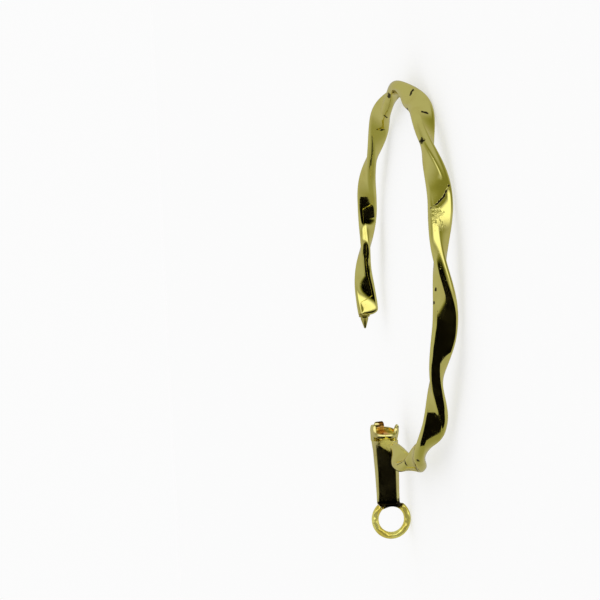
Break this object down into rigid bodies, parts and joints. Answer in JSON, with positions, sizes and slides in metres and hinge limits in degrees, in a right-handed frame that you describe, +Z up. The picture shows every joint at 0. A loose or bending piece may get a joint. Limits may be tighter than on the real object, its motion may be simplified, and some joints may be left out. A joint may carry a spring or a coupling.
{
  "type": "twisted rope hoop earring",
  "caption": "Open hoop earring of twisted flat band with a pointed end peg, an empty claw setting on a flat stem and a ring below it.",
  "frame": {"origin": "middle of the bounding box in plan, on the surface that the hoop lies on", "axes": "+Y up the hoop as it is worn, from the ring to the top; +X from the open back limb to the front limb; +Z up from the surface, across the hoop"},
  "size_m": [0.0336, 0.0412, 0.0037],
  "materials": {
    "gold_band": "mirror polish with fine cast pits and scratches",
    "gold_peg": "polished",
    "gold_setting": "mirror polish",
    "polished_ring": "bright polish"
  },
  "bodies": {
    "root": {"twisted_band": "gold_band", "end_peg": "gold_peg", "claw_setting": "gold_setting", "charm_ring": "polished_ring"}
  },
  "joints": []
}
